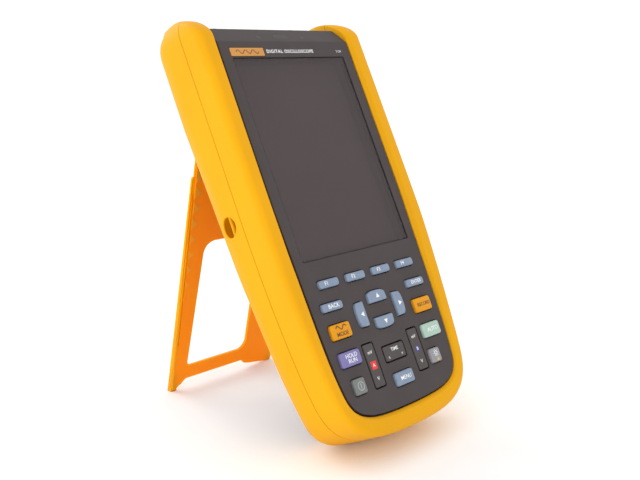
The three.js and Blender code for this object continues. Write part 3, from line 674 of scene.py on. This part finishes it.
def make_strap_anchors():
    """Cup, lip and bar of the strap anchor in each side wall."""
    wall = Station((HALF_WIDTH, STRAP["v"], FASCIA_HALF_WIDTH, STRAP["v"]))
    for name, side in (("left", -1), ("right", 1)):
        r, lip, deep = STRAP["pocket"], STRAP["lip"], STRAP["depth"]
        profile = [(r + 0.5, -0.3), (r + 0.1, 0.1), (r - lip / 2, 0.15), (r - lip * 0.9, -0.3),
                   (r - lip, -0.9), (r - lip * 0.8, -1.5), (r - lip / 3, -2),
                   (r - lip / 3, -deep + 1.1), (r - 1.4, -deep), (0, -deep), (0, -deep - 1.6),
                   (r + 1.4, -deep - 1.6), (r + 1.4, -WALL - 0.4)]
        centre = (side * HALF_WIDTH, STRAP["v"], STRAP["n"])
        cup = lathe_mesh(profile, (side, 0, 0), centre, 56)
        for vert in cup.vertices:
            below = max(0, wall.back + wall.rear - vert.co.z)
            vert.co.x -= side * (wall.rear - math.sqrt(wall.rear ** 2 - below ** 2))
        settle(cup, f"strap_cup_{name}", "housing", "bumper_rubber")
        bar = settle(strap_bar(side), f"strap_bar_{name}_moulded", "housing", "bumper_rubber")
        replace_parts(bar, f"strap_bar_{name}")


# ---- Fascia ----
PATCH_HALF = {"a": (2.3, 2.3), "b": (1.5, 1.6)}
KEYS = {
    "f1": ((-32.65, 89.8), (15.5, 4.8), "blue_key"), "f2": ((-10.9, 89.8), (15.5, 4.8), "blue_key"),
    "f3": ((10.9, 89.8), (15.5, 4.8), "blue_key"), "f4": ((32.65, 89.8), (15.5, 4.8), "blue_key"),
    "back": ((-35.9, 77), (16, 4.8), "blue_key"), "enter": ((35.9, 77), (16, 4.8), "blue_key"),
    "up": ((0, 75.7), (15.5, 7), "blue_key", 0), "left": ((-16.45, 67.9), (14.6, 7.6), "blue_key", 1),
    "down": ((0, 60.3), (15.5, 7), "blue_key", 2), "right": ((16.45, 67.9), (14.6, 7.6), "blue_key", 3),
    "mode": ((-35.7, 62.9), (15.5, 8.6), "yellow_key"), "record": ((35.7, 62.9), (15.5, 8.6), "yellow_key"),
    "hold_run": ((-35.6, 47.2), (16, 8.4), "purple_key"), "auto": ((35.6, 47.2), (16, 8.4), "green_key"),
    "menu": ((0, 26.9), (15.5, 7.8), "blue_key"), "power": ((-35.7, 31.5), (9.2, 9), "power_key"),
    "light": ((31.3, 32), (9.2, 8.7), "light_key"),
}
ROCKERS = {
    "a": ((-19.35, 39.2), (8.2, 24.5)), "b": ((19.35, 39.2), (8.2, 24.5)), "time": ((0, 42.4), (17.5, 8.6)),
}


def key_outline(name, inset):
    """Outline of a key's top, drawn in from its foot by inset."""
    (cu, cv), (w, h), _, *quarter = KEYS[name]
    if not quarter:
        return rounded_rectangle(w / 2 - inset, h / 2 - inset, max(0.4, 1.5 - inset * 0.6), (cu, cv), 5)
    hu, hv = w / 2 - inset, h / 2 - inset
    corners = [(-hu, -hv, 0.8), (hu, -hv, 0.8)]
    arch = 10
    for k in range(arch + 1):
        t = 1 - 2 * k / arch
        cut = 1.0 if k in (0, arch) else 0.45
        corners.append((t * hu * (1 - 0.04 * t * t), hv - KEY_ARCH * (t ** 4 + t * t / 3), cut))
    c, s = QUARTER_TURNS[quarter[0]]
    return [(cu + c * p.x - s * p.y, cv + s * p.x + c * p.y) for p in rounded_loop(corners, 5)]


def body_edge(inset, top):
    """Edge of the fascia, drawn in from the bumper's lip, up to a length along the fascia."""
    points = []
    for pu, pv, qu, qv in side_path():
        inward = Vector((qu - pu, qv - pv)).normalized()
        points.append((qu + inward.x * inset, qv + inward.y * inset))
    edge = FASCIA_HALF_WIDTH - inset
    return [(-edge, top), *points, (edge, top)]


SLOPE_ANGLE = math.atan2(TOP_SLOPE[1], TOP_SLOPE[0])
SLOPE_END = FASCIA_TOP + math.hypot(*TOP_SLOPE)
BENDS = [(FASCIA_TOP, SLOPE_ANGLE), (SLOPE_END, math.pi / 2 - SLOPE_ANGLE)]
BEND_RADIUS = 2.2


def fold(v, n):
    """Follows the fascia's profile: flat, down the top slope, then down the end face."""
    place, heading = Vector((0, 0)), 0.0
    travelled = 0.0
    for where, angle in BENDS:
        reach = BEND_RADIUS * math.tan(angle / 2)
        straight = where - reach
        if v <= straight:
            break
        place += Vector((math.cos(heading), -math.sin(heading))) * (straight - travelled)
        arc = min(v - straight, BEND_RADIUS * angle)
        turn = arc / BEND_RADIUS
        centre = place - Vector((math.sin(heading), math.cos(heading))) * BEND_RADIUS
        heading += turn
        place = centre + Vector((math.sin(heading), math.cos(heading))) * BEND_RADIUS
        travelled = straight + arc
        if v <= straight + BEND_RADIUS * angle:
            travelled = v
            break
    place += Vector((math.cos(heading), -math.sin(heading))) * (v - travelled)
    normal = Vector((math.sin(heading), math.cos(heading)))
    return place + normal * n


def make_fascia():
    """Moulded front skin with its key and window openings, folded over the top of the case."""
    top = SLOPE_END + 4.4
    holes = [key_outline(name, -0.42) for name in KEYS]
    for (cu, cv), (w, h) in ROCKERS.values():
        holes.append(rounded_rectangle(w / 2 + 0.8, h / 2 + 0.8, 1.4, (cu, cv)))
    holes.append(grown(WINDOW_HALF, 0.4, 1.2, WINDOW_CENTRE))
    holes.append(grown(BADGE_HALF, 0.3, 0.5, BADGE_CENTRE))
    mesh = plate_mesh(body_edge(1.0, top), holes, SKIN_BOTTOM, SKIN_TOP, 0.2)
    bm = bmesh.new()
    bm.from_mesh(mesh)
    for where, angle in BENDS:
        reach = BEND_RADIUS * math.tan(angle / 2)
        for k in range(7):
            height = where - reach + BEND_RADIUS * angle * k / 6
            whole = [*bm.verts, *bm.edges, *bm.faces]
            bmesh.ops.bisect_plane(bm, geom=whole, plane_co=(0, height, 0), plane_no=(0, 1, 0), dist=1e-5)
    for vert in bm.verts:
        point = fold(vert.co.y, vert.co.z)
        vert.co.y, vert.co.z = point
    bm.to_mesh(mesh)
    bm.free()
    settle(mesh, "fascia_skin", "housing", "fascia_plastic", sharp=30)


def crown(share):
    """Rise of a key's dome at a share of the way out from its centre."""
    return 0.35 * (1 - share * share)


def make_key(name):
    centre = Vector(KEYS[name][0])
    rings = []
    levels = [(0, -3.6), (0, -0.6), (0.12, KEY_TOP - 1.1)]
    for k in range(1, 6):
        angle = k / 5 * math.pi / 2
        levels.append((0.12 + 0.85 * (1 - math.cos(angle)), KEY_TOP - 1.1 + 0.85 * math.sin(angle)))
    for inset, n in levels:
        rings.append([Vector((u, v, n)) for u, v in key_outline(name, inset)])
    edge = key_outline(name, levels[-1][0])
    for share in (0.85, 0.65, 0.4, 0.15):
        ring = [centre + (Vector(p) - centre) * share for p in edge]
        rings.append([Vector((*p, KEY_TOP - 0.25 + crown(share))) for p in ring])
    piece = settle(loft_mesh(rings), f"keycap_{name}", f"key_{name}", KEYS[name][2], sharp=60)
    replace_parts(piece, f"key_{name}")


def make_rocker(name):
    (cu, cv), (w, h) = ROCKERS[name]
    rings = []
    levels = [(0, -3.4), (0, ROCKER_TOP - 0.7)]
    for k in range(1, 5):
        angle = k / 4 * math.pi / 2
        levels.append((0.5 * (1 - math.cos(angle)), ROCKER_TOP - 0.5 + 0.5 * math.sin(angle)))
    for inset, n in levels:
        loop = rounded_rectangle(w / 2 - inset, h / 2 - inset, 1.1, (cu, cv), 5)
        rings.append([Vector((u, v, n)) for u, v in loop])
    centre = Vector((cu, cv))
    for share in (0.8, 0.5, 0.15):
        loop = rounded_rectangle(w / 2 - 0.5, h / 2 - 0.5, 1.1, (cu, cv), 5)
        n = ROCKER_TOP - 0.18 * (1 - share * share)
        rings.append([Vector((*(centre + (Vector(p) - centre) * share), n)) for p in loop])
    piece = settle(loft_mesh(rings), f"rocker_cap_{name}", f"rocker_{name}", "rocker_plastic", sharp=60)
    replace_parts(piece, f"rocker_{name}")


# ---- Printed legends ----
def ink_plate(loops, low):
    """Flat printed shape from outlines, where a loop inside another is a hole."""
    return plate_mesh(loops[0], loops[1:], low, low + INK_THICKNESS)


def word_mesh(text, size, centre, low, bold=0.006, spacing=1.0, anchor="CENTER"):
    curve = bpy.data.curves.new("word", "FONT")
    curve.body = text
    curve.size = size
    curve.align_x = anchor
    curve.align_y = "CENTER"
    curve.space_line = 0.86
    curve.space_character = spacing
    curve.offset = bold * size
    curve.resolution_u = 3
    curve.extrude = INK_THICKNESS / 2
    holder = bpy.data.objects.new("word", curve)
    scene.collection.objects.link(holder)
    mesh = evaluated_mesh(holder)
    bpy.data.objects.remove(holder)
    bpy.data.curves.remove(curve)
    mesh.transform(Matrix.Translation((*centre, low + INK_THICKNESS / 2)))
    return mesh


def joined(meshes):
    """One mesh of several, which are used up."""
    bm = bmesh.new()
    for mesh in meshes:
        bm.from_mesh(mesh)
        bpy.data.meshes.remove(mesh)
    result = bpy.data.meshes.new("joined")
    bm.to_mesh(result)
    bm.free()
    return result


def drape_on_key(mesh, name):
    """Lifts a legend so that it follows the key's dome."""
    centre = Vector(KEYS[name][0])
    half = Vector(KEYS[name][1]) / 2
    for vert in mesh.vertices:
        offset = Vector((vert.co.x, vert.co.y)) - centre
        share = min(1, max(abs(offset.x) / half.x, abs(offset.y) / half.y))
        vert.co.z += crown(share)


def legend(mesh, name, body, slot, ink):
    settle(mesh, name, body, slot, INKS[ink], sharp=20)


def key_legend(mesh, key, ink, name=None):
    """Print that follows the dome of a key and is named after it."""
    drape_on_key(mesh, key)
    legend(mesh, name or f"legend_{key}", f"key_{key}", KEYS[key][2], ink)


def rectangle(start, end, half):
    return [(start, -half), (end, -half), (end, half), (start, half)]


def triangle(u, v, size, quarter):
    c, s = QUARTER_TURNS[quarter]
    shape = [(-0.62, -0.5), (0.62, -0.5), (0, 0.62)]
    return [(u + size * (c * x - s * y), v + size * (s * x + c * y)) for x, y in shape]


def circle(u, v, radius, count=28):
    return [(u + radius * math.cos(2 * math.pi * k / count), v + radius * math.sin(2 * math.pi * k / count))
            for k in range(count)]


def wave(u, v, width, height, stroke, cycles):
    """Outline of a sine wave drawn with a pen of that stroke."""
    upper, lower = [], []
    count = 40
    for k in range(count + 1):
        t = k / count
        x, y = u + (t - 0.5) * width, v + height / 2 * math.sin(2 * math.pi * cycles * t)
        slope = math.pi * cycles * height / width * math.cos(2 * math.pi * cycles * t)
        normal = Vector((-slope, 1)).normalized() * stroke / 2
        upper.append((x + normal.x, y + normal.y))
        lower.append((x - normal.x, y - normal.y))
    return upper + lower[::-1]


def make_key_legends():
    top = KEY_TOP - 0.25
    words = {f"f{k}": (f"F{k}", 3.1, -2.6, "white") for k in range(1, 5)}
    words |= {
        "back": ("BACK", 3.3, 0.4, "white"), "enter": ("ENTER", 3.1, 0.4, "white"),
        "record": ("RECORD", 2.9, 0.4, "brown"), "hold_run": ("HOLD\nRUN", 3.3, 0.4, "white"),
        "auto": ("AUTO", 3.5, 0.4, "white"), "menu": ("MENU", 3.3, 0.4, "white"),
    }
    for name, (text, size, shift, ink) in words.items():
        cu, cv = KEYS[name][0]
        key_legend(word_mesh(text, size, (cu + shift, cv), top), name, ink)
    for name in ("up", "left", "down", "right"):
        centre, _, _, quarter = KEYS[name]
        key_legend(ink_plate([triangle(*centre, 2.3, quarter)], top), name, "white")
    cu, cv = KEYS["mode"][0]
    glyph = ink_plate([wave(cu, cv + 1.9, 8, 2.2, 0.55, 1.5)], top)
    key_legend(joined([glyph, word_mesh("MODE", 3.2, (cu, cv - 1.8), top)]), "mode", "brown")
    cu, cv = KEYS["power"][0]
    stem = rounded_rectangle(0.25, 1.5, 0.2, (cu, cv), 2)
    shapes = [ink_plate([circle(cu, cv, 2.5), circle(cu, cv, 2.05)], top), ink_plate([stem], top)]
    key_legend(joined(shapes), "power", "grey")
    cu, cv = KEYS["light"][0]
    lamp = Vector((cu, cv + 1.2))
    shapes = [ink_plate([circle(*lamp, 1.25, 20), circle(*lamp, 0.85, 20)], top)]
    beam = rectangle(1.55, 2.3, 0.16)
    for k in range(8):
        turned = Matrix.Rotation(k * math.pi / 4, 2)
        shapes.append(ink_plate([[tuple(turned @ Vector(p) + lamp) for p in beam]], top))
    key_legend(joined(shapes), "light", "white")
    mark = ink_plate([triangle(cu + 0.5, cv - 2.5, 1.7, 0)], top)
    key_legend(mark, "light", "amber", "legend_light_mark")


def make_rocker_legends():
    top = ROCKER_TOP - 0.13
    for name, ink in (("a", "red"), ("b", "blue")):
        cu, cv = ROCKERS[name][0]
        white = [word_mesh("mV", 2.7, (cu, cv + 7.4), top), word_mesh("V", 2.9, (cu, cv - 7.6), top)]
        legend(joined(white), f"legend_range_{name}", f"rocker_{name}", "rocker_plastic", "white")
        patch = rounded_rectangle(*PATCH_HALF[name], 0.4, (cu, cv), 3)
        legend(ink_plate([patch], top - 0.04), f"patch_{name}", f"rocker_{name}", "rocker_plastic", ink)
        letter = word_mesh(name.upper(), 2.7, (cu, cv), top + 0.02)
        legend(letter, f"letter_{name}", f"rocker_{name}", "rocker_plastic", "white")
    cu, cv = ROCKERS["time"][0]
    white = [
        word_mesh("TIME", 2.9, (cu + 0.6, cv + 1.5), top),
        word_mesh("s", 2.7, (cu - 5.6, cv - 2.2), top),
        word_mesh("ns", 2.5, (cu + 6.2, cv - 2.2), top),
    ]
    legend(joined(white), "legend_range_time", "rocker_time", "rocker_plastic", "white")


def make_fascia_legends():
    top = SKIN_TOP - 0.02
    place = (-18.2, BADGE_CENTRE[1] + 0.15)
    title = word_mesh("DIGITAL OSCILLOSCOPE", 2.95, place, top, 0.02, spacing=1.2, anchor="LEFT")
    channels = word_mesh("2 CH", 2.1, (42.6, BADGE_CENTRE[1]), top, 0)
    legend(joined([title, channels]), "title_line", "housing", "fascia_plastic", "white")
    slope = [word_mesh("COM", 4.4, (0, 0), top, 0.12)]
    for u in (-MARK_PITCH, MARK_PITCH):
        slope.append(ink_plate([triangle(u, 0, 2.9, 0)], top))
    mesh = joined(slope)
    for vert in mesh.vertices:
        vert.co.y, vert.co.z = fold(FASCIA_TOP + 5.2 + vert.co.y, vert.co.z)
    legend(mesh, "jack_marks", "housing", "fascia_plastic", "black")


def make_badge():
    """Plain orange name strip with a sine glyph in place of a name."""
    mesh = plate_mesh(grown(BADGE_HALF, 0, 0.35, BADGE_CENTRE), [], -0.4, 0.3, 0.12)
    piece = settle(mesh, "badge_strip", "housing", "badge")
    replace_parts(piece, "badge_plate")
    glyph = [ink_plate([wave(*BADGE_CENTRE, 17, 2.3, 0.5, 3)], 0.28)]
    legend(joined(glyph), "badge_glyph", "housing", "badge", "brown")


# ---- Display ----
def window_loop(wider, radius, higher=None):
    """Outline of the window, made wider and higher by as much, or by two amounts."""
    half_u = WINDOW_HALF[0] + wider
    half_v = WINDOW_HALF[1] + (wider if higher is None else higher)
    return rounded_rectangle(half_u, half_v, radius, WINDOW_CENTRE)


def make_display():
    """Window, the dark border round it, the well under it and the display's glass."""
    lens = plate_mesh(window_loop(0, 1.0), [], -2.1, -0.5, 0.2)
    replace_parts(settle(lens, "window_lens", "housing", "display_window"), "display_lens")
    border = plate_mesh(window_loop(0.35, 1.1), [window_loop(-0.1, 0.9)], -1.2, -0.45)
    settle(border, "window_border", "housing", "dark_plastic")
    well = plate_mesh(window_loop(4.2, 1, 4), [window_loop(-0.3, 0.8)], -8.7, -3.4, 0.2)
    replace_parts(settle(well, "window_well", "housing", "dark_plastic"), "display_frame")
    glass = plate_mesh(window_loop(3, 0.6, 2.4), [], -11.4, -9, 0.2)
    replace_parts(settle(glass, "lcd_glass", "housing", "lcd"), "lcd_panel")


# ---- Tilt stand, drawn folded: u across, y up from the hinge, z towards the case ----
STAND_EDGE = [
    (-46.6, 2.6, 1), (-46.1, 0, 0.8), (-44.9, -0.8, 0.5), (-43.7, -0.4, 0.5), (-41.5, 2.6, 1),
    (-38.6, 4.2, 1), (-37.2, 5.8, 0.8), (-35.4, 7.2, 1), (14, 7.2, 1.4), (15.8, 4.4, 0.8), (19, 3.3, 1.2),
    (40.6, -0.8, 1), (42.3, 1.6, 1), (42.6, 60, 2), (43.6, 183, 2), (42, STAND_LENGTH, 1),
    (-43, STAND_LENGTH, 1), (-45, 184, 2),
]
STAND_PLATE = (-1.0, 1.3)
TEETH = {"count": 8, "first": 78, "pitch": 10.4, "root": -44.2, "reach": 6}
STAND_SIDES = {"left": -46.6, "right": 42.3}
BARREL = {"half": 44, "bore": 1.55, "radius": 2.6}
LUGS = {"place": 16, "gap": 4.1, "slot": 3.9}
FOOT = {"width": 4.6, "profile": [(-2, 1), (16, 0), (9, -2.6), (-2, -3.2)]}
RIB = {"width": 1.9, "profile": [(-2, 1), (150, 0), (150, -1.2), (-2, -3.2)]}


def from_foot(points):
    """Points measured up from the stand's foot, moved to where the hinge is at zero."""
    return [(u, s - STAND_LENGTH) for u, s in points]


def stand_plate():
    edge = from_foot([tuple(p) for p in rounded_loop(STAND_EDGE, 4)])
    corners = [(16.2, 105.5, 7), (-31.5, 105.5, 8), (-35.6, 16.6, 3.5), (15.2, 16.6, 7)]
    window = from_foot([tuple(p) for p in rounded_loop(corners, 8)])
    plate = plate_mesh(edge, [window], *STAND_PLATE, 0.45)
    high = STAND_PLATE[1]
    half = LUGS["slot"]
    cutters = [block_mesh((u - half, -5.2, -9), (u + half, 6, 9)) for u in (-LUGS["place"], LUGS["place"])]
    slot = from_foot([tuple(p) for p in rounded_rectangle(0.45, 65, 0.44, (-44.95, 99), 4)])
    cutters.append(loft_mesh([[Vector((u, y, z)) for u, y in slot] for z in (high - 0.9, high + 3)]))
    return carve(plate, cutters)


def tooth_mesh(k):
    """Raised saw-tooth beside the left edge, highest at its root."""
    size = 0.55 + 0.45 * k / (TEETH["count"] - 1)
    s = TEETH["first"] + k * TEETH["pitch"]
    root, tip = TEETH["root"], TEETH["root"] + TEETH["reach"] * size
    rings = []
    for rise, inset in ((-0.5, 0), (0.1, 0.1), (0.3, 0.7)):
        half = 5 * size - inset
        shape = [(root, s - half, 0.1), (tip - inset * 1.6, s, 0.5), (root, s + half, 0.1)]
        rings.append([Vector((*p, STAND_PLATE[1] + rise)) for p in from_foot(rounded_loop(shape, 3))])
    return loft_mesh(rings)


def barrel_mesh(u0, u1):
    """Tube round the hinge pin, with eased ends."""
    long, inner, outer = u1 - u0, BARREL["bore"], BARREL["radius"]
    near = [(inner, 0.25), (inner + 0.25, 0), (outer - 0.35, 0), (outer, 0.35)]
    far = [(radius, long - place) for radius, place in reversed(near)]
    return lathe_mesh(near + far, (1, 0, 0), (u0, 0, 0), 32)


def make_stand():
    piece = settle(stand_plate(), "stand_plate", "tilt_stand", "stand_plastic", matrix=STAND, sharp=32)
    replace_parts(piece, "tilt_stand")
    flatten_on_floor(piece)
    for k in range(TEETH["count"]):
        # The teeth take the lighter copy of the stand plastic, a painted highlight on their raised faces.
        settle(tooth_mesh(k), f"stand_tooth_{k + 1}", "tilt_stand", "stand_plastic", TOOTH_PAINTED_HIGHLIGHT, STAND, 20)
    place, gap = LUGS["place"], LUGS["gap"]
    spans = [(-BARREL["half"], -place - gap), (gap - place, place - gap), (place + gap, BARREL["half"])]
    for k, (u0, u1) in enumerate(spans):
        mesh = barrel_mesh(u0, u1)
        settle(mesh, f"stand_barrel_{k + 1}", "tilt_stand", "stand_plastic", matrix=STAND)
    left, right = STAND_SIDES["left"], STAND_SIDES["right"]
    for kind, shape in (("foot", FOOT), ("rib", RIB)):
        profile = [(s - STAND_LENGTH, z) for s, z in shape["profile"]]
        for side, u0 in (("left", left), ("right", right - shape["width"])):
            inset = 0.02 if kind == "foot" else 0.12
            mesh = bar_mesh(profile, u0 + inset, u0 + shape["width"] - inset, 0.6)
            piece = settle(mesh, f"stand_{kind}_{side}", "tilt_stand", "stand_plastic", matrix=STAND)
            flatten_on_floor(piece)


def flatten_on_floor(piece):
    """Lays flat on the floor whatever of a settled piece reaches under it."""
    for vert in piece.data.vertices:
        vert.co.z = max(vert.co.z, 0)


# ---- Jacks at the top ----
def make_jacks():
    """Two shrouded input sockets with the common jack between them."""
    for name, side in (("a", -1), ("b", 1)):
        centre = (side * JACK_PITCH, 0, JACK_N)
        shroud = [(6.5, JACK_PLATE - 6), (8.6, JACK_PLATE - 6), (8.6, 254.9), (8.25, 255.4), (7.9, 255.5),
                  (6.9, 255.5), (6.6, 255.3), (6.5, 254.9)]
        slot = "input_a_red" if name == "a" else "input_b_grey"
        piece = settle(lathe_mesh(shroud, (0, 1, 0), centre), f"jack_{name}_shroud", "housing", slot)
        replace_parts(piece, f"input_{name}_shroud")
        socket = [(0, JACK_PLATE - 10), (6.1, JACK_PLATE - 10), (6.1, 253.1), (5.8, 253.5), (5.2, 253.5),
                  (4.9, 253.2), (4.9, JACK_PLATE - 3), (1.1, JACK_PLATE - 3), (1.1, JACK_PLATE + 0.1),
                  (0.7, JACK_PLATE + 0.6), (0, JACK_PLATE + 0.6)]
        mesh = lathe_mesh(socket, (0, 1, 0), centre)
        piece = settle(mesh, f"jack_{name}_socket", "housing", "connector_metal")
        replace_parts(piece, f"input_{name}_socket")
    common = [(2.1, JACK_PLATE - 6), (2.1, 254.9), (2.5, 255.4), (3, 255.5), (5.5, 255.5), (6, 255.3),
              (6.2, 254.8), (6.2, JACK_PLATE - 10), (0, JACK_PLATE - 10), (0, JACK_PLATE - 6)]
    piece = settle(lathe_mesh(common, (0, 1, 0), (0, 0, JACK_N)), "jack_com", "housing", "dark_plastic")
    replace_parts(piece, "com_jack")


# ---- CAD nodes that stay ----
def finish_cad_nodes():
    """Rounds the edges of the CAD nodes that are shown, and gives each its material."""
    slots = {part["node"]: part["material_slot"] for part in frame["record"]["subparts"]}
    eased = {"rear_case": 0.4, "front_case": 0.2, "battery_door": 0.4}
    for name, node in nodes.items():
        node.data.materials.clear()
        node.data.materials.append(MATERIALS[slots[name]])
        if node.hide_render:
            continue
        weld = node.modifiers.new("weld", "WELD")
        weld.merge_threshold = 0.00001
        bevel = node.modifiers.new("bevel", "BEVEL")
        bevel.width = eased.get(name, 0.15) * MM
        bevel.segments = 2
        bevel.limit_method = "ANGLE"
        bevel.angle_limit = math.radians(35)


add_camera()
add_studio()
make_bumpers()
make_strap_anchors()
make_fascia()
for key_name in KEYS:
    make_key(key_name)
for rocker_name in ROCKERS:
    make_rocker(rocker_name)
make_key_legends()
make_rocker_legends()
make_fascia_legends()
make_badge()
make_display()
make_stand()
make_jacks()
finish_cad_nodes()
